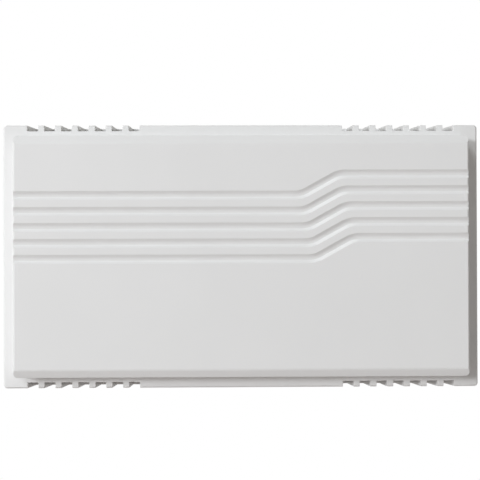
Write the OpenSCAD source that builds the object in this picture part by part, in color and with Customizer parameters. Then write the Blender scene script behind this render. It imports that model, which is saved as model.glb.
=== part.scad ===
// Wired two-note doorbell chime for a hall wall. A vented cover pushes on over a base
// that carries two steel tone bars and two solenoids with spring-returned plungers.
// Every piece is laid out lying on its back: x right, y up the wall, z out from the wall.
// on_wall() then stands it up, with the wall at y = 0 and the front towards -y.

/* [Cover] */
// Width at the open rim
cover_w = 197; // [190:1:230]
// Height at the open rim
cover_h = 110.5; // [108:0.5:140]
// Depth from the wall to the face of the front panel
cover_d = 47.5; // [45:0.5:60]
// Depth from the wall to the ledge round the panel
ledge_d = 35.5; // [34:0.5:40]
// Thickness of the side walls
cover_wall = 2.2; // [1.6:0.1:2.8]
// Thickness of the front panel
front_t = 2.4; // [2:0.1:3.5]
// Slope of the outer walls in degrees
cover_draft = 2.8; // [1:0.1:3.5]
// Radius of the upright corners at the ledge
corner_r = 1; // [0.6:0.1:3]
// Width of the broken outer edge of the ledge
edge_w = 0.5; // [0.2:0.1:1]
// Gap between the rim and the wall
rim_gap = 0.5; // [0.2:0.1:1]
// Width of the ledge at the panel's left and right
side_ledge_w = 5.8; // [5:0.1:8]
// Width of the ledge above and below the panel
ledge_w = 5.2; // [5:0.1:8]
// Width of the sloping band along the panel's top and bottom
bevel_w = 3.1; // [1.5:0.1:5]
// Drop of the sloping band
bevel_drop = 1.7; // [0.9:0.1:2]
// Radius of the panel's four corners
panel_r = 1.6; // [0.6:0.1:3]
// Rounding of the panel's left and right edges
end_r = 0.7; // [0.3:0.1:0.8]
// Width of the ribs that grip the base's tongues
grip_rib_w = 8; // [5:0.5:10]
// Gap between a grip rib and its tongue
grip_gap = 0.2; // [0.15:0.05:0.4]

/* [Grooves] */
// Number of grooves across the panel
groove_count = 5; // [1:1:6]
// Spacing of the grooves
groove_pitch = 6.35; // [5:0.05:7]
// Width of a groove at the face
groove_w = 3.7; // [3:0.1:4]
// Depth of a groove
groove_depth = 1.1; // [0.5:0.05:1.3]
// Distance of a groove's deepest line below its upper edge
groove_low = 2.6; // [1.5:0.1:2.8]
// Height of the upper groove's left run above the panel's middle
groove_top = 24.4; // [20:0.1:30]
// Rise of each groove at its jog
groove_rise = 8.4; // [6:0.1:10]
// Slope of the jog in degrees
groove_slope = 29; // [22:1:40]
// Bend radius at the jog
groove_bend = 10; // [6:0.5:14]
// Distance of the upper groove's jog from the middle
jog_x = 31.3; // [10:0.1:50]
// Sideways step of the jog from one groove to the next
jog_step = 1.4; // [0:0.1:4]

/* [Sound slots] */
// Number of slots in each of the four groups
vent_count = 7; // [3:1:7]
// Width of a slot
vent_w = 4.4; // [3:0.1:5]
// Spacing of the slots
vent_pitch = 6.88; // [6.5:0.02:7]
// Distance of a group's middle from the cover's middle
vent_x = 64.25; // [62:0.05:65]
// Depth of a slot into the ledge
vent_depth = 2.4; // [2:0.1:3.2]
// Distance of a slot's rear end from the wall
vent_end = 9; // [5:0.5:20]

/* [Base] */
// Gap between the base and the cover's inner walls
base_gap = 0.5; // [0.3:0.1:1]
// Thickness of the back plate
base_t = 2.5; // [2:0.1:3.5]
// Height of the rim above the wall
base_rim_h = 6; // [5:0.5:8]
// Thickness of the rim
base_rim_t = 1.8; // [1.4:0.1:2.4]
// Distance of the cover tongues from the middle
tongue_x = 30; // [24:0.5:32]
// Width of a cover tongue
tongue_w = 12; // [10:0.5:14]
// Thickness of a cover tongue
tongue_t = 2; // [1.6:0.1:2.4]
// Height of the tongues above the wall
tongue_h = 22; // [16:0.5:26]
// Spacing of the two wall-screw slots
screw_spacing = 173; // [170:0.5:174]
// Width of a wall-screw slot
screw_slot_w = 4.6; // [4:0.1:5.2]
// Length of a wall-screw slot
screw_slot_l = 9; // [7:0.5:10]
// Width of the wire window
wire_w = 26; // [18:1:28]
// Height of the wire window
wire_h = 11; // [8:0.5:12]
// Height of the yoke seats above the plate
seat_h = 4.2; // [3.8:0.1:5]

/* [Tone bars] */
// Width of a tone bar
bar_w = 24; // [20:0.5:25]
// Thickness of a tone bar
bar_t = 3; // [2:0.1:4]
// Length of the low bar
low_bar_l = 94; // [84:0.5:96]
// Length of the high bar
high_bar_l = 84; // [76:0.5:94]
// Place of a bar's holes from each end, as a part of its length
bar_hole_share = 0.224; // [0.2:0.002:0.25]
// Diameter of a grommet's flanges
grommet_d = 13.5; // [12:0.1:15]
// Thickness of a grommet's flange
grommet_t = 1.7; // [1.2:0.1:2.2]
// Diameter of a grommet's neck
neck_d = 9; // [8:0.1:10]
// Diameter of a bar screw's shoulder
shoulder_d = 4.1; // [3.6:0.1:5]

/* [Solenoids] */
// Diameter of a plunger core
core_d = 9; // [8:0.1:10]
// Length of a plunger core
core_l = 42; // [38:0.5:46]
// Running clearance between core and bobbin, on the radius
run_gap = 0.05; // [0.03:0.01:0.1]
// Wall of the bobbin's tube
tube_t = 1.15; // [0.9:0.05:1.4]
// Length of a bobbin between its outer faces
bobbin_l = 46; // [42:0.5:48]
// Diameter of a bobbin's flanges
flange_d = 22.4; // [21:0.1:22.8]
// Thickness of a bobbin's flange
flange_t = 1.5; // [1.2:0.1:2]
// Depth of the winding below the flanges' edge
winding_drop = 0.9; // [0.9:0.1:1.6]
// Thickness of a yoke's steel
yoke_t = 1.5; // [1.2:0.1:2]
// Width of a yoke
yoke_w = 20; // [18:0.5:21]
// Height of a yoke's ears above the plunger
ear_h = 9; // [8:0.5:11]
// Distance between the two plungers
solenoid_pitch = 24; // [23.5:0.1:26]
// Height of the midline between the plungers
solenoid_y = -4; // [-6:0.5:-3]

/* [Strikers] */
// Length of the short striker in front of its core
short_l = 20; // [19:0.5:22]
// Length of the long striker in front of its core
long_l = 35; // [33:0.5:37]
// Diameter of a striker's rod
rod_d = 6; // [5:0.1:7]
// Diameter of a striker's tip
tip_d = 8; // [7:0.1:8.6]
// Diameter of the collar that holds the spring
collar_d = 14; // [13:0.1:16]
// Distance from the front plunger at rest to the high bar
strike_gap = 8; // [6.5:0.1:9]
// Distance from the front plunger at rest to the low bar
return_gap = 3; // [2:0.1:4]
// Wire diameter of a spring
spring_wire = 0.7; // [0.5:0.05:0.8]
// Number of turns of a spring
spring_turns = 8; // [6:1:9]

/* [Terminals] */
// Spacing of the terminals
terminal_pitch = 18; // [16:0.5:19]
// Height of the terminal block above the wall
block_top = 11; // [10:0.5:12]
// Diameter of a terminal screw's head
terminal_head_d = 7; // [6:0.1:8]

/* [Hidden] */
$fn = 48;

// Overrun of a cutter past the face it opens
over = 1;
// Gap between pieces that are held against each other
seat_gap = 0.05;
sides = [-1, 1];

// Half width and half height of the cover at a distance z from the wall
function cover_hw(z) = cover_w / 2 - (z - rim_gap) * tan(cover_draft);
function cover_hh(z) = cover_h / 2 - (z - rim_gap) * tan(cover_draft);
// Half sizes of the raised panel
panel_hw = cover_hw(ledge_d) - side_ledge_w;
panel_hh = cover_hh(ledge_d) - ledge_w;
// Half distances between the axes of the tub's corners
core_hw = cover_hw(ledge_d) - corner_r - edge_w;
core_hh = cover_hh(ledge_d) - corner_r - edge_w;
// Section of the tub's wall beside a corner's axis, from x = inner, with its broken edge
wall_top = corner_r + edge_w;
wall_foot = wall_top + (ledge_d - rim_gap) * tan(cover_draft);
function wall_section(inner) = [[inner, rim_gap], [wall_foot, rim_gap],
  [wall_top, ledge_d - edge_w], [corner_r, ledge_d], [inner, ledge_d]];

// A groove's section, with a long eased slope above its deepest line and a short straight one below.
// The long slope's points are shares of its width and depth, from the upper edge
groove_ease = [[0, 0], [0.08, 0.08], [0.17, 0.2], [0.27, 0.375], [0.38, 0.55], [0.5, 0.7],
  [0.63, 0.82], [0.8, 0.92], [1, 1]];
groove_lip = 0.3;
groove_section = concat(
  [[-groove_w / 2 - groove_lip * (groove_w - groove_low) / groove_depth, groove_lip]],
  [for (k = [len(groove_ease) - 1 : -1 : 0])
    [groove_w / 2 - groove_low * groove_ease[k][0], -groove_depth * groove_ease[k][1]]],
  [[groove_w / 2 + groove_lip * groove_low / groove_depth, groove_lip]]);
groove_steps = 6;
jog_straight = (groove_rise - 2 * groove_bend * (1 - cos(groove_slope))) / sin(groove_slope);
jog_l = 2 * groove_bend * sin(groove_slope) + jog_straight * cos(groove_slope);

base_hw = cover_hw(base_rim_h) - cover_wall - base_gap;
base_hh = cover_hh(base_rim_h) - cover_wall - base_gap;
base_r = 2;
// The tongues stand just inside the rim
tongue_y = base_hh - base_rim_t - 0.3;
grip_rib_end = tongue_h + 2;
collar_wall = 1.5;
wire_y = base_hh - base_rim_t - collar_wall - 0.9 - wire_h / 2;
base_rib_t = 1.6;
base_rib_h = 3.5;
screw_pad_h = 4;

front_y = solenoid_y + solenoid_pitch / 2;
rear_y = solenoid_y - solenoid_pitch / 2;
flange_gap = 0.3;
yoke_z = base_t + seat_h;
axis_z = yoke_z + yoke_t + flange_gap + flange_d / 2;
bore_d = core_d + 2 * run_gap;
tube_d = bore_d + 2 * tube_t;
winding_d = flange_d - 2 * winding_drop;
ear_gap = 0.1;
yoke_bend = 0.4;
boss_l = yoke_t + 0.3;
boss_d = tube_d + 0.6;
boss_end = bobbin_l / 2 + boss_l;
rivet_x = 12;
rivet_d = 3.4;
rivet_head_d = 6.4;
rivet_head_t = 0.7;
rivet_fit = 0.1;

plunger_l = core_l + short_l + long_l;
low_edge = -(plunger_l + strike_gap + return_gap) / 2;
high_edge = -low_edge;
stop_gap = 0.8;
stop_t = 2.4;
stop_w = 12;
pad_t = 2;
pad_gap = 0.15;
front_tip = low_edge + return_gap;
rear_tip = low_edge + stop_gap + stop_t + seat_gap + pad_t + pad_gap;
tip_l = 4;
tip_round = 6;
spigot_d = 4;
spigot_l = 6;
collar_x = 6;
collar_t = 2;
spring_r = core_d / 2 + 0.5 + spring_wire / 2;

low_x = low_edge - bar_w / 2;
high_x = high_edge + bar_w / 2;
low_hole = low_bar_l * (0.5 - bar_hole_share);
high_hole = high_bar_l * (0.5 - bar_hole_share);
bar_r = 1.5;
bar_z = axis_z - bar_t / 2;
grommet_gap = 0.1;
post_d = 9.5;
post_top = bar_z - grommet_gap - grommet_t - seat_gap;
bar_head_z = bar_z + bar_t + grommet_gap + grommet_t + seat_gap;
bar_head_d = 9;
bar_head_t = 2.4;
bar_driver_w = 1.2;
bar_driver_depth = 1.2;
bar_thread_d = 3;
bar_thread_l = 8;
thread_gap = 0.1;

block_y = front_y + flange_d / 2 + 3.8;
block_l = 9.5;
block_end = 3.5;
terminal_y = block_y + 5;
terminal_xs = [-terminal_pitch, 0, terminal_pitch];
plate_w = 9;
block_w = 2 * (terminal_pitch + plate_w / 2 + block_end);
plate_l = 9;
plate_t = 0.8;
tab_w = 3;
tab_l = 2.6;
terminal_thread_d = 3.4;
terminal_thread_l = 6.5;
terminal_head_t = 2.2;
terminal_driver_w = 1;
terminal_driver_depth = 1.1;

// Routes of the coil leads: points chosen along each wire, from its coil to its terminal
lead_d = 1.3;
// Distance of the coils' wire ends from the middle
coil_end = bobbin_l / 2 - 3;
lead_steps = 3;
lead_z = base_t + 0.9;
rear_lead_x = 29;
common_lead_x = 31.5;
clip_gap = 0.4;
clip_t = 1.2;
clip_l = 6;
clip_h = 4;
front_route = [[-coil_end, 16.2, 27], [-coil_end, 18.2, 26.9], [0.3 - coil_end, 20.3, 25.6],
  [-19, 21.5, 22], [-18.2, 21.8, 17], [-18, 21.8, 11.9]];
front_common_route = [[coil_end, 16.2, 27], [coil_end - 0.3, 18.4, 27], [coil_end - 2, 20.6, 26.6],
  [14, 21.7, 25], [8, 21.8, 22.6], [3, 21.8, 19.8], [0.5, 21.8, 16.6], [0, 21.8, 11.9]];
rear_route = [[coil_end, -26.4, 19.7], [coil_end + 0.3, -28.4, 19.3], [21.4, -30.2, 16.6], [23.6, -31, 12],
  [26.2, -29.6, 7], [28.2, -25.6, 4.2], [rear_lead_x, -19, lead_z], [rear_lead_x, -10, lead_z],
  [rear_lead_x, 0, lead_z], [rear_lead_x, 8, lead_z], [28.8, 13, 5.2], [27.4, 17.4, 8.6],
  [24.6, 20.6, 12.4], [21.6, 21.8, 15], [19.2, 21.8, 15.4], [18.1, 21.8, 13.9], [18, 21.8, 11.9]];
rear_common_route = [[coil_end - 3.5, -26.4, 19.7], [coil_end - 3.2, -28.6, 19.4], [18, -31, 16.8],
  [20.6, -32.8, 12], [24.6, -33, 7.4], [28.6, -30.6, 4.4], [31, -25, lead_z],
  [common_lead_x, -14, lead_z], [common_lead_x, -4, lead_z], [common_lead_x, 6, lead_z],
  [31, 12, lead_z], [28.4, 17.4, 3.5], [24, 20.4, 3.9], [18, 21.4, 4.6], [10, 21.6, 5],
  [4.4, 21.6, 5.5], [1.4, 21.7, 6.8], [0.1, 21.8, 8.8], [0, 21.8, 10.9]];

module on_wall() rotate([90, 0, 0]) children();

// A solid of revolution with its axis along x, at a solenoid's height and a distance x
module along_x(x, y) translate([x, y, axis_z]) rotate([0, 90, 0]) children();

module rounded_rect(hw, hh, r) {
  square([2 * (hw - r), 2 * hh], center = true);
  square([2 * hw, 2 * (hh - r)], center = true);
  for (x = sides, y = sides) translate([x * (hw - r), y * (hh - r)]) circle(r);
}

// Smooth route through chosen points
function route_point(p, i, t) = let(
    a = p[max(i - 1, 0)], b = p[i], c = p[i + 1], d = p[min(i + 2, len(p) - 1)])
  0.5 * (2 * b + (c - a) * t + (2 * a - 5 * b + 4 * c - d) * t ^ 2
    + (3 * b - a - 3 * c + d) * t ^ 3);
function smooth(p) = concat(
  [for (i = [0 : len(p) - 2], k = [0 : lead_steps - 1]) route_point(p, i, k / lead_steps)],
  [p[len(p) - 1]]);

function unit(v) = v / norm(v);
function heading(p, i) = unit(p[min(i + 1, len(p) - 1)] - p[max(i - 1, 0)]);
function square_to(n, t) = unit(n - (n * t) * t);
// Side direction of each ring, carried along the route without twisting
function ring_sides(p, i, n) = i == len(p) ? []
  : let(m = square_to(n, heading(p, i))) concat([m], ring_sides(p, i + 1, m));

// A section swept along points; its first axis starts along first_side
module sweep(p, section, first_side) {
  n = ring_sides(p, 0, first_side);
  rings = len(p);
  count = len(section);
  points = [for (i = [0 : rings - 1], q = section)
    p[i] + q[0] * n[i] + q[1] * cross(heading(p, i), n[i])];
  skin = [for (i = [0 : rings - 2], k = [0 : count - 1], half = [0, 1])
    let(a = i * count + k, b = i * count + (k + 1) % count)
    half == 0 ? [a, a + count, b] : [b, a + count, b + count]];
  first_cap = [for (k = [1 : count - 2]) [0, k, k + 1]];
  last = (rings - 1) * count;
  last_cap = [for (k = [1 : count - 2]) [last, last + k + 1, last + k]];
  polyhedron(points, concat(skin, first_cap, last_cap));
}

function ring(r, count) = [for (k = [0 : count - 1]) r * [cos(360 * k / count), sin(360 * k / count)]];

// Straight walls along the four sides, with a cone at each corner
module tub() {
  translate([-core_hw, -core_hh, rim_gap]) cube([2 * core_hw, 2 * core_hh, ledge_d - rim_gap]);
  for (turn = [0, 180]) rotate(turn) {
    translate([core_hw, core_hh, 0]) rotate([90, 0, 0])
      linear_extrude(2 * core_hh) polygon(wall_section(-over));
    translate([-core_hw, core_hh, 0]) rotate([90, 0, 90])
      linear_extrude(2 * core_hw) polygon(wall_section(-over));
  }
  for (x = sides, y = sides) translate([x * core_hw, y * core_hh, 0])
    rotate_extrude() polygon(wall_section(0));
}

module tub_hollow() intersection() {
  from = rim_gap - over;
  to = ledge_d - cover_wall;
  translate([0, cover_h, 0]) rotate([90, 0, 0]) linear_extrude(2 * cover_h) polygon([
    for (x = sides) [x * (cover_hw(from) - cover_wall), from],
    for (x = sides) [-x * (cover_hw(to) - cover_wall), to]]);
  translate([-cover_w, 0, 0]) rotate([90, 0, 90]) linear_extrude(2 * cover_w) polygon([
    for (y = sides) [y * (cover_hh(from) - cover_wall), from],
    for (y = sides) [-y * (cover_hh(to) - cover_wall), to]]);
}

// The panel's outline, then its sloping top and bottom bands, then its rounded ends
module panel() intersection() {
  translate([0, 0, ledge_d - over]) linear_extrude(cover_d - ledge_d + over)
    rounded_rect(panel_hw, panel_hh, panel_r);
  translate([-cover_w, 0, 0]) rotate([90, 0, 90]) linear_extrude(2 * cover_w) polygon([
    [-panel_hh - over, 0], [panel_hh + over, 0], [panel_hh + over, cover_d - bevel_drop],
    [panel_hh, cover_d - bevel_drop], [panel_hh - bevel_w, cover_d],
    [-panel_hh + bevel_w, cover_d], [-panel_hh, cover_d - bevel_drop],
    [-panel_hh - over, cover_d - bevel_drop]]);
  translate([0, cover_h, 0]) rotate([90, 0, 0]) linear_extrude(2 * cover_h)
    rounded_rect(panel_hw, cover_d, end_r);
}

module panel_hollow() {
  from = ledge_d - cover_wall - over;
  translate([cover_wall - panel_hw, cover_wall - panel_hh, from])
    cube([2 * (panel_hw - cover_wall), 2 * (panel_hh - cover_wall), cover_d - front_t - from]);
}

// Centre line of one jogged groove whose left run lies at height y
function groove_path(x, y) = let(start = x - jog_l / 2, end = x + jog_l / 2, reach = cover_w / 2)
  concat([[-reach, y, cover_d]],
    [for (k = [0 : groove_steps]) let(a = groove_slope * k / groove_steps)
      [start + groove_bend * sin(a), y + groove_bend * (1 - cos(a)), cover_d]],
    [for (k = [groove_steps : -1 : 0]) let(a = groove_slope * k / groove_steps)
      [end - groove_bend * sin(a), y + groove_rise - groove_bend * (1 - cos(a)), cover_d]],
    [[reach, y + groove_rise, cover_d]]);

module groove(x, y) sweep(groove_path(x, y), groove_section, [0, 1, 0]);

module vents() {
  y = cover_hh(ledge_d) - vent_depth;
  l = cover_h / 2 - y + over;
  for (x = sides, i = [0 : vent_count - 1], s = sides)
    translate([x * vent_x + (i - (vent_count - 1) / 2) * vent_pitch, s * (y + l / 2),
      (vent_end + ledge_d + over) / 2])
      cube([vent_w, l, ledge_d + over - vent_end], center = true);
}

module grip_ribs() {
  y = tongue_y + grip_gap;
  l = cover_hh(grip_rib_end) - cover_wall / 2 - y;
  z = base_rim_h + 0.5;
  for (x = sides, s = sides)
    translate([x * tongue_x, s * (y + l / 2), (z + grip_rib_end) / 2])
      cube([grip_rib_w, l, grip_rib_end - z], center = true);
}

module cover() on_wall() color("white") {
  difference() {
    union() {
      tub();
      panel();
    }
    tub_hollow();
    panel_hollow();
    vents();
    for (i = [0 : groove_count - 1])
      groove(jog_x + i * jog_step, groove_top - i * groove_pitch);
  }
  grip_ribs();
}

module bar_places() {
  for (s = sides) {
    translate([low_x, s * low_hole, 0]) children();
    translate([high_x, s * high_hole, 0]) children();
  }
}

module rivet_places() for (x = sides, y = [front_y, rear_y])
  translate([x * rivet_x, y, 0]) children();

module screw_slot(r) for (x = sides) translate([x * screw_spacing / 2, 0, 0]) {
  run = screw_slot_l / 2 - screw_slot_w / 2;
  for (s = sides) translate([s * run, 0, -over]) cylinder(h = screw_pad_h + 2 * over, r = r);
  translate([-run, -r, -over]) cube([2 * run, 2 * r, screw_pad_h + 2 * over]);
}

module base_plate() {
  linear_extrude(base_t) rounded_rect(base_hw, base_hh, base_r);
  linear_extrude(base_rim_h) difference() {
    rounded_rect(base_hw, base_hh, base_r);
    square([2 * (base_hw - base_rim_t), 2 * (base_hh - base_rim_t)], center = true);
  }
  for (x = [low_x, high_x]) translate([x - base_rib_t / 2, -base_hh + base_rim_t / 2, 0])
    cube([base_rib_t, 2 * base_hh - base_rim_t, base_t + base_rib_h]);
  for (x = sides) translate([x * screw_spacing / 2, 0, screw_pad_h / 2])
    cube([screw_slot_l + 4, screw_slot_w + 5, screw_pad_h], center = true);
  translate([0, wire_y, base_rim_h / 2 - 0.5])
    cube([wire_w + 2 * collar_wall, wire_h + 2 * collar_wall, base_rim_h - 1], center = true);
}

module base_stands() {
  bar_places() cylinder(h = post_top, d = post_d);
  rivet_places() cylinder(h = yoke_z - seat_gap, d = rivet_head_d + 2.6);
  for (x = sides, s = sides) translate([x * tongue_x - tongue_w / 2,
    s * (tongue_y - tongue_t / 2) - tongue_t / 2, 0]) cube([tongue_w, tongue_t, tongue_h]);
  translate([-block_w / 2, block_y, 0]) cube([block_w, block_l, block_top]);
  // Stop post for the rear plunger, with its gusset
  translate([low_edge + stop_gap, rear_y - stop_w / 2, 0])
    cube([stop_t, stop_w, axis_z + stop_w / 2]);
  translate([low_edge + stop_gap + stop_t, rear_y + base_rib_t / 2, 0]) rotate([90, 0, 0])
    linear_extrude(base_rib_t) polygon([[-over, 0], [6, 0], [0, 10], [-over, 10]]);
  // Clip posts on each side of the rear solenoid's leads
  for (x = [rear_lead_x - lead_d / 2 - clip_gap - clip_t, common_lead_x + lead_d / 2 + clip_gap])
    translate([x, solenoid_y - clip_l / 2, 0]) cube([clip_t, clip_l, base_t + clip_h]);
}

module base() on_wall() color("ivory") difference() {
  union() {
    base_plate();
    base_stands();
  }
  bar_places() translate([0, 0, post_top - bar_thread_l - 0.5])
    cylinder(h = bar_thread_l + 0.5 + over, d = bar_thread_d + 2 * thread_gap);
  rivet_places() translate([0, 0, -over])
    cylinder(h = yoke_z + 2 * over, d = rivet_d + 2 * rivet_fit);
  rivet_places() translate([0, 0, -over])
    cylinder(h = 1.2 + over, d = rivet_head_d + 2 * rivet_fit);
  screw_slot(screw_slot_w / 2);
  translate([0, wire_y, 0]) cube([wire_w, wire_h, 4 * base_rim_h], center = true);
  for (x = terminal_xs) translate([x, terminal_y, block_top - terminal_thread_l - 0.5])
    cylinder(h = terminal_thread_l + 0.5 + over, d = terminal_thread_d + 2 * thread_gap);
  // Hollows that keep the terminal block's walls thin
  for (x = sides) translate([x * terminal_pitch / 2, block_y + block_l / 2, 0])
    cube([terminal_pitch / 2, block_l - 4, 2 * (block_top - 2.5)], center = true);
}

module tone_bar(x, l, hole) translate([x, 0, bar_z]) difference() {
  linear_extrude(bar_t) rounded_rect(bar_w / 2, l / 2, bar_r);
  for (s = sides) translate([0, s * hole, -over])
    cylinder(h = bar_t + 2 * over, d = neck_d + 2 * grommet_gap);
}

module low_tone_bar() on_wall() color("silver") tone_bar(low_x, low_bar_l, low_hole);

module high_tone_bar() on_wall() color("silver") tone_bar(high_x, high_bar_l, high_hole);

module bar_grommets() on_wall() color("dimgray") bar_places()
  translate([0, 0, post_top + seat_gap]) difference() {
    union() {
      cylinder(h = grommet_t, d = grommet_d);
      cylinder(h = 2 * grommet_t + 2 * grommet_gap + bar_t, d = neck_d);
      translate([0, 0, grommet_t + 2 * grommet_gap + bar_t])
        cylinder(h = grommet_t, d = grommet_d);
    }
    translate([0, 0, -over]) cylinder(h = bar_head_z, d = shoulder_d + 2 * grommet_gap);
  }

module bar_screws() on_wall() color("gray") bar_places() difference() {
  union() {
    translate([0, 0, post_top - bar_thread_l]) cylinder(h = bar_head_z - post_top + bar_thread_l,
      d = bar_thread_d);
    translate([0, 0, post_top + seat_gap]) cylinder(h = bar_head_z - post_top - seat_gap,
      d = shoulder_d);
    translate([0, 0, bar_head_z]) cylinder(h = bar_head_t, d = bar_head_d);
  }
  translate([0, 0, bar_head_z + bar_head_t]) cube([bar_head_d + over, bar_driver_w,
    2 * bar_driver_depth], center = true);
}

module bobbin(y) along_x(0, y) rotate_extrude() {
  h = bobbin_l / 2;
  polygon([[bore_d / 2, -boss_end], [boss_d / 2, -boss_end], [boss_d / 2, -h],
    [flange_d / 2, -h], [flange_d / 2, -h + flange_t], [tube_d / 2, -h + flange_t],
    [tube_d / 2, h - flange_t], [flange_d / 2, h - flange_t], [flange_d / 2, h],
    [boss_d / 2, h], [boss_d / 2, boss_end], [bore_d / 2, boss_end]]);
}

module winding(y) {
  l = bobbin_l - 2 * flange_t - 2 * seat_gap;
  along_x(-l / 2, y) difference() {
    cylinder(h = l, d = winding_d);
    translate([0, 0, -over]) cylinder(h = l + 2 * over, d = tube_d + 2 * seat_gap);
  }
}

module yoke(y) {
  hw = bobbin_l / 2 + ear_gap;
  hh = axis_z + ear_h - yoke_z;
  translate([0, y, yoke_z]) difference() {
    rotate([90, 0, 0]) translate([0, 0, -yoke_w / 2]) linear_extrude(yoke_w) difference() {
      translate([0, hh]) rounded_rect(hw + yoke_t, hh, yoke_bend + yoke_t);
      translate([0, hh + yoke_t]) rounded_rect(hw, hh, yoke_bend);
      translate([-hw - yoke_t - over, hh]) square([2 * (hw + yoke_t + over), hh + over]);
    }
    translate([-hw - yoke_t - over, 0, axis_z - yoke_z]) rotate([0, 90, 0])
      cylinder(h = 2 * (hw + yoke_t + over), d = boss_d + 0.3);
    for (x = sides) translate([x * rivet_x, 0, -over])
      cylinder(h = yoke_t + 2 * over, d = rivet_d + 2 * rivet_fit);
  }
}

module yoke_rivets() on_wall() color("gray") rivet_places() {
  translate([0, 0, yoke_z + yoke_t + seat_gap / 2]) cylinder(h = rivet_head_t, d = rivet_head_d);
  translate([0, 0, 0.4]) cylinder(h = yoke_z + yoke_t, d = rivet_d);
  translate([0, 0, 0.4]) cylinder(h = rivet_head_t, d = rivet_head_d);
}

module core(tip, y) along_x(tip + short_l, y) difference() {
  cylinder(h = core_l, d = core_d);
  translate([0, 0, -over]) cylinder(h = spigot_l + over, d = spigot_d);
  translate([0, 0, core_l - spigot_l]) cylinder(h = spigot_l + over, d = spigot_d);
}

// A striker's rounded tip pointing towards -z, with its end at z = 0
module striker_tip() intersection() {
  cylinder(h = tip_l, d = tip_d);
  translate([0, 0, tip_round]) sphere(tip_round);
}

module short_striker(tip, y) along_x(tip, y) {
  striker_tip();
  translate([0, 0, tip_l]) cylinder(h = short_l - tip_l, d = rod_d);
  translate([0, 0, collar_x]) cylinder(h = collar_t, d = collar_d);
  translate([0, 0, short_l]) cylinder(h = spigot_l - seat_gap, d = spigot_d - 2 * seat_gap);
}

module long_striker(tip, y) along_x(tip + plunger_l, y) rotate([180, 0, 0]) {
  striker_tip();
  translate([0, 0, tip_l]) cylinder(h = long_l - tip_l, d = rod_d);
  translate([0, 0, long_l]) cylinder(h = spigot_l - seat_gap, d = spigot_d - 2 * seat_gap);
}

// Centre line of a spring between its collar and the bobbin's boss
function spring_points(tip) = let(
    start = tip + collar_x + collar_t + spring_wire / 2 + seat_gap,
    l = -boss_end - start - spring_wire / 2 - seat_gap,
    n = spring_turns * 8)
  [for (i = [0 : n]) [start + l * i / n, spring_r * cos(45 * i), spring_r * sin(45 * i)]];
function self_gap(p) = min([for (i = [0 : len(p) - 8], j = [i + 7 : len(p) - 1])
  norm(p[i] - p[j])]) - spring_wire;

module spring(tip, y) translate([0, y, axis_z])
  sweep(spring_points(tip), ring(spring_wire / 2, 6), [0, 1, 0]);

echo(front_spring_gap = self_gap(spring_points(front_tip)),
  rear_spring_gap = self_gap(spring_points(rear_tip)));

module front_bobbin() on_wall() color("beige") bobbin(front_y);
module front_winding() on_wall() color("peru") winding(front_y);
module front_yoke() on_wall() color("slategray") yoke(front_y);
module rear_bobbin() on_wall() color("beige") bobbin(rear_y);
module rear_winding() on_wall() color("peru") winding(rear_y);
module rear_yoke() on_wall() color("slategray") yoke(rear_y);
module front_plunger_core() on_wall() color("silver") core(front_tip, front_y);
module front_short_striker() on_wall() color("linen") short_striker(front_tip, front_y);
module front_long_striker() on_wall() color("linen") long_striker(front_tip, front_y);
module front_spring() on_wall() color("silver") spring(front_tip, front_y);
module rear_plunger_core() on_wall() color("silver") core(rear_tip, rear_y);
module rear_short_striker() on_wall() color("linen") short_striker(rear_tip, rear_y);
module rear_long_striker() on_wall() color("linen") long_striker(rear_tip, rear_y);
module rear_spring() on_wall() color("silver") spring(rear_tip, rear_y);

module plunger_stop_pad() on_wall() color("darkolivegreen")
  translate([low_edge + stop_gap + stop_t + seat_gap, rear_y - stop_w / 2, axis_z - stop_w / 2])
  cube([pad_t, stop_w, stop_w]);

module terminal_plates() on_wall() color("gold") for (x = terminal_xs)
  translate([x, block_y, block_top + seat_gap]) difference() {
    union() {
      translate([-plate_w / 2, 0, 0]) cube([plate_w, plate_l, plate_t]);
      translate([-tab_w / 2, -tab_l, 0]) cube([tab_w, tab_l + over, plate_t]);
    }
    translate([0, terminal_y - block_y, -over])
      cylinder(h = plate_t + 2 * over, d = terminal_thread_d + 4 * thread_gap);
  }

module terminal_screws() on_wall() color("gold") for (x = terminal_xs)
  translate([x, terminal_y, block_top]) difference() {
    union() {
      translate([0, 0, -terminal_thread_l]) cylinder(h = terminal_thread_l + plate_t + 1,
        d = terminal_thread_d);
      translate([0, 0, plate_t + 2 * seat_gap]) cylinder(h = terminal_head_t,
        d = terminal_head_d);
    }
    translate([0, 0, plate_t + 2 * seat_gap + terminal_head_t]) cube([terminal_head_d + over,
      terminal_driver_w, 2 * terminal_driver_depth], center = true);
  }

module lead(route) sweep(smooth(route), ring(lead_d / 2, 8), [0, 0.2, 1]);
module front_lead() on_wall() color("firebrick") lead(front_route);
module rear_lead() on_wall() color("steelblue") lead(rear_route);
module common_leads() on_wall() color("whitesmoke") {
  lead(front_common_route);
  lead(rear_common_route);
}

cover();
base();
low_tone_bar();
high_tone_bar();
bar_grommets();
bar_screws();
front_bobbin();
front_winding();
front_yoke();
rear_bobbin();
rear_winding();
rear_yoke();
yoke_rivets();
front_plunger_core();
front_short_striker();
front_long_striker();
front_spring();
rear_plunger_core();
rear_short_striker();
rear_long_striker();
rear_spring();
plunger_stop_pad();
terminal_plates();
terminal_screws();
front_lead();
rear_lead();
common_leads();
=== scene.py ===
import math

import bmesh
import bpy
from mathutils import Matrix, Vector, noise


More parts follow.
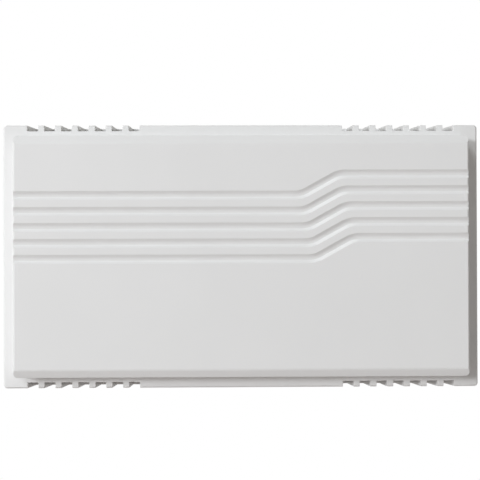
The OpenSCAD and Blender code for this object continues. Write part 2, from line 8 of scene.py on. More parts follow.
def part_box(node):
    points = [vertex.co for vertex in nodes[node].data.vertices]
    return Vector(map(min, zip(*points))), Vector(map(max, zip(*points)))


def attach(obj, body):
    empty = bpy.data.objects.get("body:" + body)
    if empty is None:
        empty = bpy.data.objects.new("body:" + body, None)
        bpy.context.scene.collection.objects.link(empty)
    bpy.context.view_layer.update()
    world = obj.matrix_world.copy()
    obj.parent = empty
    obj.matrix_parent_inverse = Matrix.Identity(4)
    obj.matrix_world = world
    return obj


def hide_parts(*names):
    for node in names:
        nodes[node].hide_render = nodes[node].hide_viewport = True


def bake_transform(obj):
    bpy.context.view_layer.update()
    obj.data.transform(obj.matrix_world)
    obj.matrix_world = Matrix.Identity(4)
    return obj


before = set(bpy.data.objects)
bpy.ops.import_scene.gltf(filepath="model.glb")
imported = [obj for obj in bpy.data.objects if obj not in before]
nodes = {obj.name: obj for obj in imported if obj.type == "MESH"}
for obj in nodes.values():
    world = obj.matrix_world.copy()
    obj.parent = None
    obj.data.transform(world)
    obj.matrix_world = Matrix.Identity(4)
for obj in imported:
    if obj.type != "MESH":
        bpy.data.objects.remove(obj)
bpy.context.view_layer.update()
scene = bpy.context.scene
mm = 0.001
print("frame loaded with", len(nodes), "nodes")

# Camera, all but square on to the wall as in the photograph
photo = {
    "size": 480,  # pixels each way
    "sensor": 36,  # mm
    "focal": 1224.3,  # pixels
    "axisAt": (243.2, 247.9),  # pixel that the lens points at
    "eye": (-0.009, -0.5355, -0.0003),
    "tilt": 0.42,  # degrees, as the next two
    "roll": 0.18,
    "pan": -1.12,
    "near": 0.01,
}


def addCamera():
    lens = bpy.data.cameras.new("camera")
    lens.sensor_width = photo["sensor"]
    lens.lens = photo["sensor"] * photo["focal"] / photo["size"]
    lens.shift_x = 0.5 - photo["axisAt"][0] / photo["size"]
    lens.shift_y = photo["axisAt"][1] / photo["size"] - 0.5
    lens.clip_start = photo["near"]
    camera = bpy.data.objects.new("camera", lens)
    camera.location = photo["eye"]
    turns = (90 + photo["tilt"], photo["roll"], photo["pan"])
    camera.rotation_euler = [math.radians(turn) for turn in turns]
    scene.collection.objects.link(camera)
    scene.camera = camera
    scene.view_settings.view_transform = "Standard"
    print("camera placed")


addCamera()


# Shader building
def addNode(tree, kind, inputs=None, **settings):
    node = tree.nodes.new(kind)
    for key, value in settings.items():
        setattr(node, key, value)
    for key, value in (inputs or {}).items():
        node.inputs[key].default_value = value
    return node


def newGroup(name, inputs):
    # every surface group puts out a slow tone and a fine height
    group = bpy.data.node_groups.new(name, "ShaderNodeTree")
    for label, kind, value in inputs:
        socket = group.interface.new_socket(name=label, in_out="INPUT", socket_type=kind)
        socket.default_value = value
    for label in ("Tone", "Height"):
        group.interface.new_socket(name=label, in_out="OUTPUT", socket_type="NodeSocketFloat")
    return group, addNode(group, "NodeGroupInput"), addNode(group, "NodeGroupOutput")


def mouldGroup():
    # fine spark-eroded grain and slow tone changes of moulded plastic
    group, start, end = newGroup(
        "mouldedGrain",
        [("Grain", "NodeSocketFloat", 2600.0), ("Patch", "NodeSocketFloat", 22.0)],
    )
    link = group.links.new
    place = addNode(group, "ShaderNodeTexCoord")
    fine = addNode(group, "ShaderNodeTexNoise", {"Detail": 2.0, "Roughness": 0.55})
    slow = addNode(group, "ShaderNodeTexNoise", {"Detail": 3.0, "Roughness": 0.5})
    link(place.outputs["Object"], fine.inputs["Vector"])
    link(place.outputs["Object"], slow.inputs["Vector"])
    link(start.outputs["Grain"], fine.inputs["Scale"])
    link(start.outputs["Patch"], slow.inputs["Scale"])
    link(slow.outputs["Fac"], end.inputs["Tone"])
    link(fine.outputs["Fac"], end.inputs["Height"])
    return group


def streakGroup():
    # streaks along one direction, as rolled, drawn or turned metal has, over slow patches
    group, start, end = newGroup(
        "rolledStreaks",
        [
            ("Stretch", "NodeSocketVector", (3000.0, 3000.0, 60.0)),
            ("Patch", "NodeSocketFloat", 40.0),
        ],
    )
    link = group.links.new
    place = addNode(group, "ShaderNodeTexCoord")
    stretch = addNode(group, "ShaderNodeVectorMath", operation="MULTIPLY")
    lines = {"Scale": 1.0, "Detail": 4.0, "Roughness": 0.6}
    streak = addNode(group, "ShaderNodeTexNoise", lines)
    slow = addNode(group, "ShaderNodeTexNoise", {"Detail": 4.0, "Roughness": 0.6})
    both = addNode(group, "ShaderNodeMix", {"Factor": 0.45}, data_type="FLOAT")
    link(place.outputs["Object"], stretch.inputs[0])
    link(start.outputs["Stretch"], stretch.inputs[1])
    link(stretch.outputs["Vector"], streak.inputs["Vector"])
    link(place.outputs["Object"], slow.inputs["Vector"])
    link(start.outputs["Patch"], slow.inputs["Scale"])
    link(slow.outputs["Fac"], both.inputs["A"])
    link(streak.outputs["Fac"], both.inputs["B"])
    link(both.outputs["Result"], end.inputs["Tone"])
    link(streak.outputs["Fac"], end.inputs["Height"])
    return group


def feltGroup():
    # matted short fibres: a noise bent by another one
    group, start, end = newGroup(
        "mattedFibres",
        [("Fibre", "NodeSocketFloat", 1500.0), ("Bend", "NodeSocketFloat", 3.0)],
    )
    link = group.links.new
    place = addNode(group, "ShaderNodeTexCoord")
    fibre = addNode(group, "ShaderNodeTexNoise", {"Detail": 5.0, "Roughness": 0.7})
    tufts = {"Scale": 420.0, "Detail": 3.0, "Roughness": 0.6}
    slow = addNode(group, "ShaderNodeTexNoise", tufts)
    link(place.outputs["Object"], fibre.inputs["Vector"])
    link(place.outputs["Object"], slow.inputs["Vector"])
    link(start.outputs["Fibre"], fibre.inputs["Scale"])
    link(start.outputs["Bend"], fibre.inputs["Distortion"])
    link(slow.outputs["Fac"], end.inputs["Tone"])
    link(fibre.outputs["Fac"], end.inputs["Height"])
    return group


groups = {"mould": mouldGroup(), "streak": streakGroup(), "felt": feltGroup()}


def ramp(tree, source, low, high):
    # value between low and high as the source runs over its middle range
    limits = {"From Min": 0.3, "From Max": 0.7, "To Min": low, "To Max": high}
    node = addNode(tree, "ShaderNodeMapRange", limits)
    tree.links.new(source, node.inputs["Value"])
    return node.outputs["Result"]


def newMaterial(name, look):
    # look: group and its inputs, two tones, roughness span, bump, and fixed shader values
    material = bpy.data.materials.new(name)
    material.use_nodes = True
    tree = material.node_tree
    shader = tree.nodes["Principled BSDF"]
    texture = addNode(tree, "ShaderNodeGroup", node_tree=groups[look["group"]])
    for key, value in look.get("inputs", {}).items():
        texture.inputs[key].default_value = value
    tone = addNode(tree, "ShaderNodeMix", data_type="RGBA")
    tone.inputs["A"].default_value = (*look["tones"][0], 1)
    tone.inputs["B"].default_value = (*look["tones"][1], 1)
    strength, distance = look["bump"]
    bump = addNode(tree, "ShaderNodeBump", {"Strength": strength, "Distance": distance * mm})
    link = tree.links.new
    link(ramp(tree, texture.outputs["Tone"], 0.0, 1.0), tone.inputs["Factor"])
    link(tone.outputs["Result"], shader.inputs["Base Color"])
    link(ramp(tree, texture.outputs["Tone"], *look["rough"]), shader.inputs["Roughness"])
    link(texture.outputs["Height"], bump.inputs["Height"])
    link(bump.outputs["Normal"], shader.inputs["Normal"])
    for key, value in look.get("fixed", {}).items():
        shader.inputs[key].default_value = value
    return material


def leadLook(*tones):
    # soft insulation of a coil lead
    return {
        "group": "mould",
        "inputs": {"Grain": 1800.0, "Patch": 160.0},
        "tones": tones,
        "rough": (0.35, 0.46),
        "bump": (0.08, 0.02),
    }


# One finish for each material slot of the record; bump is strength and mm
finishes = {
    "cover_plastic": {
        "group": "mould",
        "tones": ((0.80, 0.80, 0.797), (0.815, 0.815, 0.812)),
        "rough": (0.40, 0.47),
        "bump": (0.12, 0.02),
        "fixed": {"IOR": 1.5},
    },
    "base_plastic": {
        "group": "mould",
        "inputs": {"Patch": 35.0},
        "tones": ((0.70, 0.68, 0.62), (0.745, 0.73, 0.675)),
        "rough": (0.44, 0.56),
        "bump": (0.16, 0.03),
    },
    "bar_steel": {
        "group": "streak",
        "inputs": {"Stretch": (3000.0, 3000.0, 60.0)},
        "tones": ((0.52, 0.525, 0.53), (0.66, 0.66, 0.65)),
        "rough": (0.22, 0.38),
        "bump": (0.12, 0.01),
        "fixed": {"Metallic": 1.0},
    },
    "grommet_rubber": {
        "group": "mould",
        "inputs": {"Grain": 1900.0, "Patch": 260.0},
        "tones": ((0.022, 0.022, 0.023), (0.045, 0.044, 0.043)),
        "rough": (0.62, 0.8),
        "bump": (0.3, 0.04),
    },
    "screw_steel": {
        "group": "streak",
        "inputs": {"Stretch": (1500.0, 1500.0, 1500.0), "Patch": 180.0},
        "tones": ((0.50, 0.51, 0.52), (0.66, 0.66, 0.64)),
        "rough": (0.2, 0.34),
        "bump": (0.1, 0.01),
        "fixed": {"Metallic": 1.0},
    },
    "bobbin_plastic": {
        "group": "mould",
        "inputs": {"Grain": 2200.0, "Patch": 90.0},
        "tones": ((0.70, 0.66, 0.53), (0.76, 0.72, 0.60)),
        "rough": (0.34, 0.44),
        "bump": (0.1, 0.02),
        "fixed": {"Subsurface Weight": 0.15, "Subsurface Scale": 0.002},
    },
    "copper": {
        "group": "streak",
        "inputs": {"Stretch": (2200.0, 45.0, 45.0), "Patch": 120.0},
        "tones": ((0.46, 0.17, 0.07), (0.68, 0.31, 0.15)),
        "rough": (0.2, 0.32),
        "bump": (0.05, 0.01),
        "fixed": {"Metallic": 0.9, "Coat Weight": 0.5, "Coat Roughness": 0.12},
    },
    "yoke_steel": {
        "group": "streak",
        "inputs": {"Stretch": (60.0, 3000.0, 3000.0), "Patch": 60.0},
        "tones": ((0.42, 0.43, 0.44), (0.58, 0.58, 0.56)),
        "rough": (0.26, 0.42),
        "bump": (0.14, 0.012),
        "fixed": {"Metallic": 1.0},
    },
    "core_steel": {
        "group": "streak",
        "inputs": {"Stretch": (4200.0, 50.0, 50.0), "Patch": 80.0},
        "tones": ((0.56, 0.56, 0.57), (0.70, 0.70, 0.69)),
        "rough": (0.16, 0.28),
        "bump": (0.12, 0.008),
        "fixed": {"Metallic": 1.0},
    },
    "nylon": {
        "group": "mould",
        "inputs": {"Grain": 2400.0, "Patch": 110.0},
        "tones": ((0.74, 0.72, 0.65), (0.79, 0.77, 0.71)),
        "rough": (0.24, 0.33),
        "bump": (0.06, 0.02),
        "fixed": {"Subsurface Weight": 0.2, "Subsurface Scale": 0.002},
    },
    "spring_steel": {
        "group": "streak",
        "inputs": {"Stretch": (900.0, 900.0, 900.0), "Patch": 150.0},
        "tones": ((0.44, 0.44, 0.45), (0.62, 0.62, 0.62)),
        "rough": (0.18, 0.3),
        "bump": (0.06, 0.005),
        "fixed": {"Metallic": 1.0},
    },
    "felt": {
        "group": "felt",
        "tones": ((0.13, 0.19, 0.11), (0.21, 0.28, 0.17)),
        "rough": (0.9, 1.0),
        "bump": (0.8, 0.12),
        "fixed": {"Sheen Weight": 0.4, "Sheen Roughness": 0.6},
    },
    "terminal_brass": {
        "group": "streak",
        "inputs": {"Stretch": (250.0, 2500.0, 2500.0), "Patch": 140.0},
        "tones": ((0.58, 0.41, 0.15), (0.76, 0.58, 0.27)),
        "rough": (0.2, 0.36),
        "bump": (0.1, 0.01),
        "fixed": {"Metallic": 1.0},
    },
    "red_lead": leadLook((0.44, 0.035, 0.025), (0.54, 0.06, 0.045)),
    "blue_lead": leadLook((0.035, 0.12, 0.34), (0.06, 0.17, 0.42)),
    "white_lead": leadLook((0.70, 0.70, 0.68), (0.76, 0.76, 0.74)),
}
materials = {slot: newMaterial(slot, look) for slot, look in finishes.items()}
print("materials made:", len(materials))


# Making a piece of a finished bmesh
def newPiece(work, pieceName, slot, *standsFor):
    for face in work.faces:
        face.smooth = True
    mesh = bpy.data.meshes.new(pieceName)
    work.to_mesh(mesh)
    work.free()
    piece = bpy.data.objects.new(pieceName, mesh)
    scene.collection.objects.link(piece)
    mesh.materials.append(materials[slot])
    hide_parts(*standsFor)
    return piece


def keepFlats(piece):
    # big faces keep their own shading, and the eased edges turn between them
    weigh = piece.modifiers.new("flatFaces", "WEIGHTED_NORMAL")
    weigh.keep_sharp = True


def bevelEdges(work, edges, width, segments):
    bmesh.ops.bevel(
        work, geom=edges, offset=width * mm, offset_type="OFFSET", segments=segments,
        profile=0.5, affect="EDGES", material=-1, clamp_overlap=True,
    )


def bevelSharp(work, angle, width, segments, leave=None):
    limit = math.radians(angle)
    sharp = [e for e in work.edges if e.is_manifold and e.calc_face_angle() > limit]
    if leave:
        for edge in sharp:
            edge.smooth = not leave(edge)  # an edge that is left keeps a crisp shade
        sharp = [e for e in sharp if e.smooth]
    bevelEdges(work, sharp, width, segments)


# The cover's front panel turns softly into its sloping bands; its side edges are round already
panelEdge = {
    "front": -45,  # the panel lies in front of this, in mm as below
    "stop": 88.9,  # the rounds of its sides begin beyond this
    "margin": 0.01,
    "angles": (8, 30),  # least and most turn of a soft edge, degrees
    "length": 150,  # a soft edge is longer
    "width": 0.6,
    "segments": 4,
}


def onPanelSide(edge):
    middle = (edge.verts[0].co + edge.verts[1].co) / 2 / mm
    beside = abs(middle.x) > panelEdge["stop"] + panelEdge["margin"]
    return beside and middle.y < panelEdge["front"]


def inFront(part):
    return all(v.co.y < panelEdge["front"] * mm for v in part.verts)


def softenPanel(work):
    for stop in (-panelEdge["stop"], panelEdge["stop"]):
        faces = [f for f in work.faces if inFront(f)]
        edges = [e for e in work.edges if inFront(e)]
        verts = [v for v in work.verts if v.co.y < panelEdge["front"] * mm]
        bmesh.ops.bisect_plane(
            work, geom=verts + edges + faces, plane_co=(stop * mm, 0, 0), plane_no=(1, 0, 0),
        )
    least, most = (math.radians(angle) for angle in panelEdge["angles"])
    shortest = panelEdge["length"] * mm
    long = [e for e in work.edges if e.is_manifold and e.calc_length() > shortest]
    soft = [e for e in long if least < e.calc_face_angle() < most]
    bevelEdges(work, soft, panelEdge["width"], panelEdge["segments"])
    print("panel edges softened:", len(soft))


# Rigid pieces: a merged copy of a CAD node with its edges eased
easing = {
    "merge": 0.004,  # mm within which corners become one
    "flat": 0.2,  # degrees within which faces become one
    "angle": 25,  # degrees past which an edge is eased
    "segments": 2,
}


def easedPiece(nodeName, pieceName, body, slot, width):
    work = bmesh.new()
    work.from_mesh(nodes[nodeName].data)
    bmesh.ops.remove_doubles(work, verts=work.verts, dist=easing["merge"] * mm)
    bmesh.ops.dissolve_degenerate(work, edges=work.edges, dist=easing["merge"] * mm)
    flat = math.radians(easing["flat"])
    bmesh.ops.dissolve_limit(work, angle_limit=flat, verts=work.verts, edges=work.edges)
    leave = None
    if nodeName == "cover":
        softenPanel(work)
        leave = onPanelSide
    bevelSharp(work, easing["angle"], width, easing["segments"], leave)
    piece = newPiece(work, pieceName, slot, nodeName)
    keepFlats(piece)
    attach(piece, body)
    return piece


# name: node, body, slot, width of the eased edge in mm
easedPieces = {
    "coverShell": ("cover", "cover", "cover_plastic", 0.15),
    "baseTray": ("base", "base", "base_plastic", 0.2),
    "lowToneBar": ("low_tone_bar", "base", "bar_steel", 0.3),
    "highToneBar": ("high_tone_bar", "base", "bar_steel", 0.3),
    "barScrews": ("bar_screws", "base", "screw_steel", 0.21),
    "frontBobbin": ("front_bobbin", "base", "bobbin_plastic", 0.2),
    "rearBobbin": ("rear_bobbin", "base", "bobbin_plastic", 0.2),
    "frontYoke": ("front_yoke", "base", "yoke_steel", 0.12),
    "rearYoke": ("rear_yoke", "base", "yoke_steel", 0.12),
    "yokeRivets": ("yoke_rivets", "base", "screw_steel", 0.2),
    "frontPlungerCore": ("front_plunger_core", "front_plunger", "core_steel", 0.25),
    "rearPlungerCore": ("rear_plunger_core", "rear_plunger", "core_steel", 0.25),
    "terminalPlates": ("terminal_plates", "base", "terminal_brass", 0.1),
    "terminalScrews": ("terminal_screws", "base", "terminal_brass", 0.17),
}
for pieceName, (nodeName, body, slot, width) in easedPieces.items():
    made = easedPiece(nodeName, pieceName, body, slot, width)
    print("eased", pieceName, "with", len(made.data.polygons), "faces")


# Places as in part.scad: x to the right, y up the wall, z out of the wall
def onWall(x, y, z):
    return Vector((x, -z, y)) * mm


def closeSpin(work):
    bmesh.ops.remove_doubles(work, verts=work.verts, dist=0.001 * mm)
    bmesh.ops.recalc_face_normals(work, faces=work.faces)


# Rubber grommets, spun from a section of radius and height
grommet = {
    "section": (
        (2.15, 0), (6.75, 0), (6.75, 1.7), (4.5, 1.7),
        (4.5, 4.9), (6.75, 4.9), (6.75, 6.6), (2.15, 6.6),
    ),
    "foot": 16.4,  # height over the wall
    "at": ((-66, 25.944), (-66, -25.944), (66, 23.184), (66, -23.184)),
    "steps": 48,
    "edgeAngle": 45,
    "round": 0.5,
    "roundSteps": 4,
}


def addGrommets():
    work = bmesh.new()
    section = [onWall(r, 0, grommet["foot"] + h) for r, h in grommet["section"]]
    corners = [work.verts.new(place) for place in section]
    for i, corner in enumerate(corners):
        work.edges.new((corner, corners[i - 1]))
    bmesh.ops.spin(
        work, geom=work.verts[:] + work.edges[:], cent=(0, 0, 0), axis=(0, 1, 0),
        angle=2 * math.pi, steps=grommet["steps"], use_merge=True,
    )
    closeSpin(work)
    bevelSharp(work, grommet["edgeAngle"], grommet["round"], grommet["roundSteps"])
    first = work.verts[:] + work.edges[:] + work.faces[:]
    for x, y in grommet["at"][1:]:
        copied = bmesh.ops.duplicate(work, geom=first)["geom"]
        moved = [v for v in copied if isinstance(v, bmesh.types.BMVert)]
        bmesh.ops.translate(work, verts=moved, vec=onWall(x, y, 0))
    x, y = grommet["at"][0]
    originals = [v for v in first if isinstance(v, bmesh.types.BMVert)]
    bmesh.ops.translate(work, verts=originals, vec=onWall(x, y, 0))
    piece = newPiece(work, "barGrommets", "grommet_rubber", "bar_grommets")
    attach(piece, "base")
    print("grommets spun")


addGrommets()

# Nylon strikers, spun from sections of distance behind the tip and radius
striker = {
    "dome": 6,  # radius of the tip's dome
    "domeSteps": 10,
    "short": (
        (4, 4), (4, 3), (6, 3), (6, 7), (8, 7), (8, 3),
        (20, 3), (20, 1.95), (25.95, 1.95), (25.95, 0),
    ),
    "long": ((4, 4), (4, 3), (35, 3), (35, 1.95), (40.95, 1.95), (40.95, 0)),
    "steps": 48,
    "edgeAngle": 40,
    "round": 0.3,
    "roundSteps": 3,
}


def addStriker(nodeName, pieceName, body, kind):
    low, high = (Vector(corner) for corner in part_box(nodeName))
    middle = (low + high) / 2
    # the short strikers point left, the long ones right
    tip, back = (low.x, mm) if kind == "short" else (high.x, -mm)
    dome = striker["dome"]
    widest = math.asin(striker[kind][0][1] / dome)
    angles = [widest * k / striker["domeSteps"] for k in range(striker["domeSteps"] + 1)]
    section = [(dome - dome * math.cos(a), dome * math.sin(a)) for a in angles]
    section += striker[kind]
    work = bmesh.new()
    places = [(tip + back * d, middle.y, middle.z + r * mm) for d, r in section]
    line = [work.verts.new(place) for place in places]
    edges = [work.edges.new(pair) for pair in zip(line, line[1:])]
    bmesh.ops.spin(
        work, geom=line + edges, cent=middle, axis=(1, 0, 0),
        angle=2 * math.pi, steps=striker["steps"], use_merge=True,
    )
    closeSpin(work)
    bevelSharp(work, striker["edgeAngle"], striker["round"], striker["roundSteps"])
    piece = newPiece(work, pieceName, "nylon", nodeName)
    keepFlats(piece)
    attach(piece, body)
    print("spun", pieceName)


addStriker("front_short_striker", "frontShortStriker", "front_plunger", "short")
addStriker("rear_short_striker", "rearShortStriker", "rear_plunger", "short")
addStriker("front_long_striker", "frontLongStriker", "front_plunger", "long")
addStriker("rear_long_striker", "rearLongStriker", "rear_plunger", "long")

# Coils: an outer layer of enamelled wire wound over a sleeve that stands for the layers below
coil = {
    "wire": 0.45,
    "steps": 36,  # along one turn
    "sides": 6,
    "join": 0.002,  # within which one turn meets the next
    "bore": 5.76,  # radius of the sleeve's hole
    "sleeveSteps": 48,
    "edgeAngle": 80,
    "round": 0.05,
}


def wireRing(work, wire, sides, at):
    # the wire's section in an empty bmesh, square to the direction it winds in
    upright = Matrix.Rotation(math.pi / 2, 3, "X")
    ring = bmesh.ops.create_circle(work, segments=sides, radius=wire / 2)["verts"]
    bmesh.ops.rotate(work, verts=ring, cent=(0, 0, 0), matrix=upright)
    bmesh.ops.translate(work, verts=ring, vec=at)
    return work.verts[:] + work.edges[:]


def closeWire(work):
    ends = [e for e in work.edges if e.is_boundary]
    bmesh.ops.holes_fill(work, edges=ends, sides=0)
    bmesh.ops.recalc_face_normals(work, faces=work.faces)


def addWinding(nodeName, pieceName):
    low, high = (Vector(corner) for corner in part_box(nodeName))
    middle = (low + high) / 2
    reach = (high.z - low.z) / 2
    wire = coil["wire"] * mm
    travel = high.x - low.x - wire
    turns = int(travel / wire)
    pitch = travel / turns
    work = bmesh.new()
    start = (low.x + wire / 2, middle.y, middle.z + reach - wire / 2)
    ring = wireRing(work, wire, coil["sides"], start)
    bmesh.ops.spin(
        work, geom=ring, cent=middle, axis=(1, 0, 0), angle=2 * math.pi,
        dvec=(pitch / coil["steps"], 0, 0), steps=coil["steps"],
    )
    firstTurn = work.verts[:] + work.edges[:] + work.faces[:]
    for turn in range(1, turns):
        copied = bmesh.ops.duplicate(work, geom=firstTurn)["geom"]
        moved = [v for v in copied if isinstance(v, bmesh.types.BMVert)]
        bmesh.ops.translate(work, verts=moved, vec=(pitch * turn, 0, 0))
    bmesh.ops.remove_doubles(work, verts=work.verts, dist=coil["join"] * mm)
    closeWire(work)
    inner, outer = coil["bore"] * mm, reach - wire / 2
    square = ((low.x, inner), (high.x, inner), (high.x, outer), (low.x, outer))
    corners = [work.verts.new((x, middle.y, middle.z + r)) for x, r in square]
    sleeve = [work.edges.new((corner, corners[i - 1])) for i, corner in enumerate(corners)]
    before = len(work.faces)
    bmesh.ops.spin(
        work, geom=corners + sleeve, cent=middle, axis=(1, 0, 0),
        angle=2 * math.pi, steps=coil["sleeveSteps"], use_merge=True,
    )
    work.faces.ensure_lookup_table()
    bmesh.ops.recalc_face_normals(work, faces=work.faces[before:])
    bevelSharp(work, coil["edgeAngle"], coil["round"], 1)
    piece = newPiece(work, pieceName, "copper", nodeName)
    keepFlats(piece)
    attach(piece, "base")
    print("wound", pieceName, "with", turns, "turns")


addWinding("front_winding", "frontWinding")
addWinding("rear_winding", "rearWinding")

# Return springs with a closed turn at each end; they shorten between bobbin and collar
spring = {
    "wire": 0.7,
    "turns": 8,
    "steps": 28,  # along one turn
    "sides": 10,
    "closedPitch": 0.74,
    "closedTurns": 0.7,  # at each end
    "openingTurns": 0.8,  # over which the pitch then grows
}


def openShare(turn):
    # 0 in the closed turns at both ends, 1 in the open ones between
    fromEnd = min(turn, spring["turns"] - turn)
    share = min(max((fromEnd - spring["closedTurns"]) / spring["openingTurns"], 0), 1)
    return share * share * (3 - 2 * share)


def addSpring(nodeName, pieceName):
    low, high = (Vector(corner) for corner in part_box(nodeName))
    middle = (low + high) / 2
    reach = (high.z - low.z) / 2
    wire = spring["wire"] * mm
    count = spring["turns"] * spring["steps"]
    shares = [openShare((k + 0.5) / spring["steps"]) for k in range(count)]
    closed = spring["closedPitch"] * mm / spring["steps"]
    opened = (high.x - low.x - wire - closed * count) / sum(shares)
    work = bmesh.new()
    start = (low.x + wire / 2, middle.y, middle.z + reach - wire / 2)
    last = wireRing(work, wire, spring["sides"], start)
    for share in shares:
        step = (closed + opened * share, 0, 0)
        last = bmesh.ops.spin(
            work, geom=last, cent=middle, axis=(1, 0, 0), dvec=step,
            angle=2 * math.pi / spring["steps"], steps=1,
        )["geom_last"]
    closeWire(work)
    piece = newPiece(work, pieceName, "spring_steel", nodeName)
    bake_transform(piece)
    print("coiled", pieceName)


addSpring("front_spring", "frontSpring")
addSpring("rear_spring", "rearSpring")

# Pressed felt pad that stops the rear plunger
felt = {
    "edgeAngle": 45,
    "round": 0.35,
    "roundSteps": 3,
    "cuts": 5,
    "lump": 0.07,  # mm
    "lumpScale": 900,
    "seed": 3,
}


def addStopPad():
    low, high = (Vector(corner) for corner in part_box("plunger_stop_pad"))
    work = bmesh.new()
    bmesh.ops.create_cube(work, size=1)
    bmesh.ops.scale(work, verts=work.verts, vec=high - low)
    bmesh.ops.translate(work, verts=work.verts, vec=(low + high) / 2)
    bevelSharp(work, felt["edgeAngle"], felt["round"], felt["roundSteps"])
    bmesh.ops.subdivide_edges(work, edges=work.edges, cuts=felt["cuts"], use_grid_fill=True)
    noise.seed_set(felt["seed"])
    for vert in work.verts:
        vert.co += noise.noise_vector(vert.co * felt["lumpScale"]) * felt["lump"] * mm
    bmesh.ops.recalc_face_normals(work, faces=work.faces)
    piece = newPiece(work, "plungerStopPad", "felt", "plunger_stop_pad")
    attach(piece, "base")
    print("felt pad pressed")


addStopPad()

# Coil leads along the routes of part.scad, each from its coil to its terminal
lead = {"width": 1.3, "steps": 8, "round": 4}
routes = {
    "front": (
        (-20, 16.2, 27), (-20, 18.2, 26.9), (-19.7, 20.3, 25.6), (-19, 21.5, 22),
        (-18.2, 21.8, 17), (-18, 21.8, 11.9),
    ),
    "frontCommon": (
        (20, 16.2, 27), (19.7, 18.4, 27), (18, 20.6, 26.6), (14, 21.7, 25),
        (8, 21.8, 22.6), (3, 21.8, 19.8), (0.5, 21.8, 16.6), (0, 21.8, 11.9),
    ),
    "rear": (
        (20, -26.4, 19.7), (20.3, -28.4, 19.3), (21.4, -30.2, 16.6), (23.6, -31, 12),
        (26.2, -29.6, 7), (28.2, -25.6, 4.2), (29, -19, 3.4), (29, -10, 3.4),
        (29, 0, 3.4), (29, 8, 3.4), (28.8, 13, 5.2), (27.4, 17.4, 8.6),
        (24.6, 20.6, 12.4), (21.6, 21.8, 15), (19.2, 21.8, 15.4), (18.1, 21.8, 13.9),
        (18, 21.8, 11.9),
    ),
    "rearCommon": (
        (16.5, -26.4, 19.7), (16.8, -28.6, 19.4), (18, -31, 16.8), (20.6, -32.8, 12),
        (24.6, -33, 7.4), (28.6, -30.6, 4.4), (31, -25, 3.4), (31.5, -14, 3.4),
        (31.5, -4, 3.4), (31.5, 6, 3.4), (31, 12, 3.4), (28.4, 17.4, 3.5),
        (24, 20.4, 3.9), (18, 21.4, 4.6), (10, 21.6, 5), (4.4, 21.6, 5.5),
        (1.4, 21.7, 6.8), (0.1, 21.8, 8.8), (0, 21.8, 10.9),
    ),
}


def addLead(nodeName, pieceName, slot, *names):
    curve = bpy.data.curves.new(pieceName, "CURVE")
    curve.dimensions = "3D"
    curve.bevel_depth = lead["width"] / 2 * mm
    curve.bevel_resolution = lead["round"]
    curve.resolution_u = lead["steps"]
    curve.use_fill_caps = True
    for name in names:
        spline = curve.splines.new("BEZIER")
        spline.bezier_points.add(len(routes[name]) - 1)
        for point, place in zip(spline.bezier_points, routes[name]):
            point.co = onWall(*place)
            point.handle_left_type = "AUTO"
            point.handle_right_type = "AUTO"
    piece = bpy.data.objects.new(pieceName, curve)
    scene.collection.objects.link(piece)
    curve.materials.append(materials[slot])
    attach(piece, "base")
    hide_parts(nodeName)
    print("lead run:", pieceName)


addLead("front_lead", "frontLead", "red_lead", "front")
addLead("rear_lead", "rearLead", "blue_lead", "rear")
addLead("common_leads", "commonLeads", "white_lead", "frontCommon", "rearCommon")

# Studio: a soft key from the upper left, a smaller light lower down on the same side,
# pale surroundings and a floor below
studio = {
    "keyAt": (-1.25, -1.56, 1.67),
    "keySize": 0.9,
    "keyPower": 21.4,
    "sideAt": (-1.62, -2.03, 0.42),
    "sideSize": 0.6,
    "sidePower": 34.4,
    "lampTint": (0.95, 0.975, 1.0),
    "roomTint": (1.0, 0.965, 0.9),
    "ambient": 0.195,  # light of the surroundings from the front
    "backdrop": 0.9,  # and from behind
    "backdropFrom": 0.5,  # y of the direction at which it is full
    "floorAt": -0.46,
    "floorSize": 3.0,
    "floorTone": (0.49, 0.45, 0.44),
    "floorRough": 0.9,
    "floorGlow": 0.6,  # share of plain white that the camera sees on the floor
}


def seenRays(tree):
    # 1 on what the camera, gloss or glass looks at, 0 for light on a surface
    path = addNode(tree, "ShaderNodeLightPath")
    seen = path.outputs["Is Camera Ray"]
    for ray in ("Is Glossy Ray", "Is Transmission Ray"):
        either = addNode(tree, "ShaderNodeMath", operation="MAXIMUM")
        tree.links.new(seen, either.inputs[0])
        tree.links.new(path.outputs[ray], either.inputs[1])
        seen = either.outputs[0]
    return seen


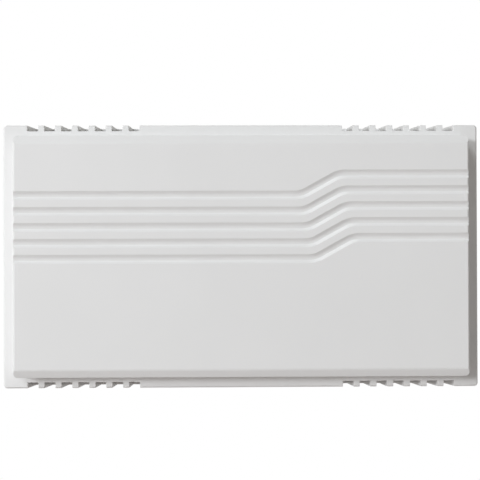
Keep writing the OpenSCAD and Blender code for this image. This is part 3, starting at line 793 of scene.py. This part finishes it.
def addWorld():
    world = bpy.data.worlds.new("paleRoom")
    scene.world = world
    world.use_nodes = True
    tree = world.node_tree
    tree.nodes.clear()
    # as light, the surroundings are paler behind the object than in front of it
    place = addNode(tree, "ShaderNodeTexCoord")
    sides = addNode(tree, "ShaderNodeSeparateXYZ")
    span = {"From Min": 0.0, "From Max": studio["backdropFrom"]}
    levels = {"To Min": studio["ambient"], "To Max": studio["backdrop"]}
    level = addNode(tree, "ShaderNodeMapRange", {**span, **levels})
    fill = addNode(tree, "ShaderNodeBackground", {"Color": (*studio["roomTint"], 1)})
    tree.links.new(place.outputs["Generated"], sides.inputs["Vector"])
    tree.links.new(sides.outputs["Y"], level.inputs["Value"])
    tree.links.new(level.outputs["Result"], fill.inputs["Strength"])
    white = addNode(tree, "ShaderNodeBackground", {"Color": (1, 1, 1, 1), "Strength": 1.0})
    mix = addNode(tree, "ShaderNodeMixShader")
    end = addNode(tree, "ShaderNodeOutputWorld")
    tree.links.new(seenRays(tree), mix.inputs["Fac"])
    tree.links.new(fill.outputs[0], mix.inputs[1])
    tree.links.new(white.outputs[0], mix.inputs[2])
    tree.links.new(mix.outputs[0], end.inputs["Surface"])


def addLamp(name):
    lamp = bpy.data.lights.new(name + "Light", "AREA")
    lamp.shape = "DISK"
    lamp.size = studio[name + "Size"]
    lamp.energy = studio[name + "Power"]
    lamp.color = studio["lampTint"]
    light = bpy.data.objects.new(name + "Light", lamp)
    light.location = studio[name + "At"]
    light.rotation_euler = (-light.location).to_track_quat("-Z", "Y").to_euler()
    scene.collection.objects.link(light)


def addFloor():
    work = bmesh.new()
    bmesh.ops.create_grid(work, x_segments=1, y_segments=1, size=studio["floorSize"] / 2)
    bmesh.ops.translate(work, verts=work.verts, vec=(0, 0, studio["floorAt"]))
    mesh = bpy.data.meshes.new("paleFloor")
    work.to_mesh(mesh)
    work.free()
    floor = bpy.data.objects.new("paleFloor", mesh)
    scene.collection.objects.link(floor)
    material = bpy.data.materials.new("paleFloor")
    material.use_nodes = True
    tree = material.node_tree
    shader = tree.nodes["Principled BSDF"]
    shader.inputs["Base Color"].default_value = (*studio["floorTone"], 1)
    shader.inputs["Roughness"].default_value = studio["floorRough"]
    glow = addNode(tree, "ShaderNodeEmission", {"Color": (1, 1, 1, 1), "Strength": 1.0})
    share = addNode(tree, "ShaderNodeMath", {1: studio["floorGlow"]}, operation="MULTIPLY")
    mix = addNode(tree, "ShaderNodeMixShader")
    tree.links.new(seenRays(tree), share.inputs[0])
    tree.links.new(share.outputs[0], mix.inputs["Fac"])
    tree.links.new(shader.outputs["BSDF"], mix.inputs[1])
    tree.links.new(glow.outputs["Emission"], mix.inputs[2])
    tree.links.new(mix.outputs["Shader"], tree.nodes["Material Output"].inputs["Surface"])
    floor.data.materials.append(material)


addWorld()
addLamp("key")
addLamp("side")
addFloor()
print("studio lit")
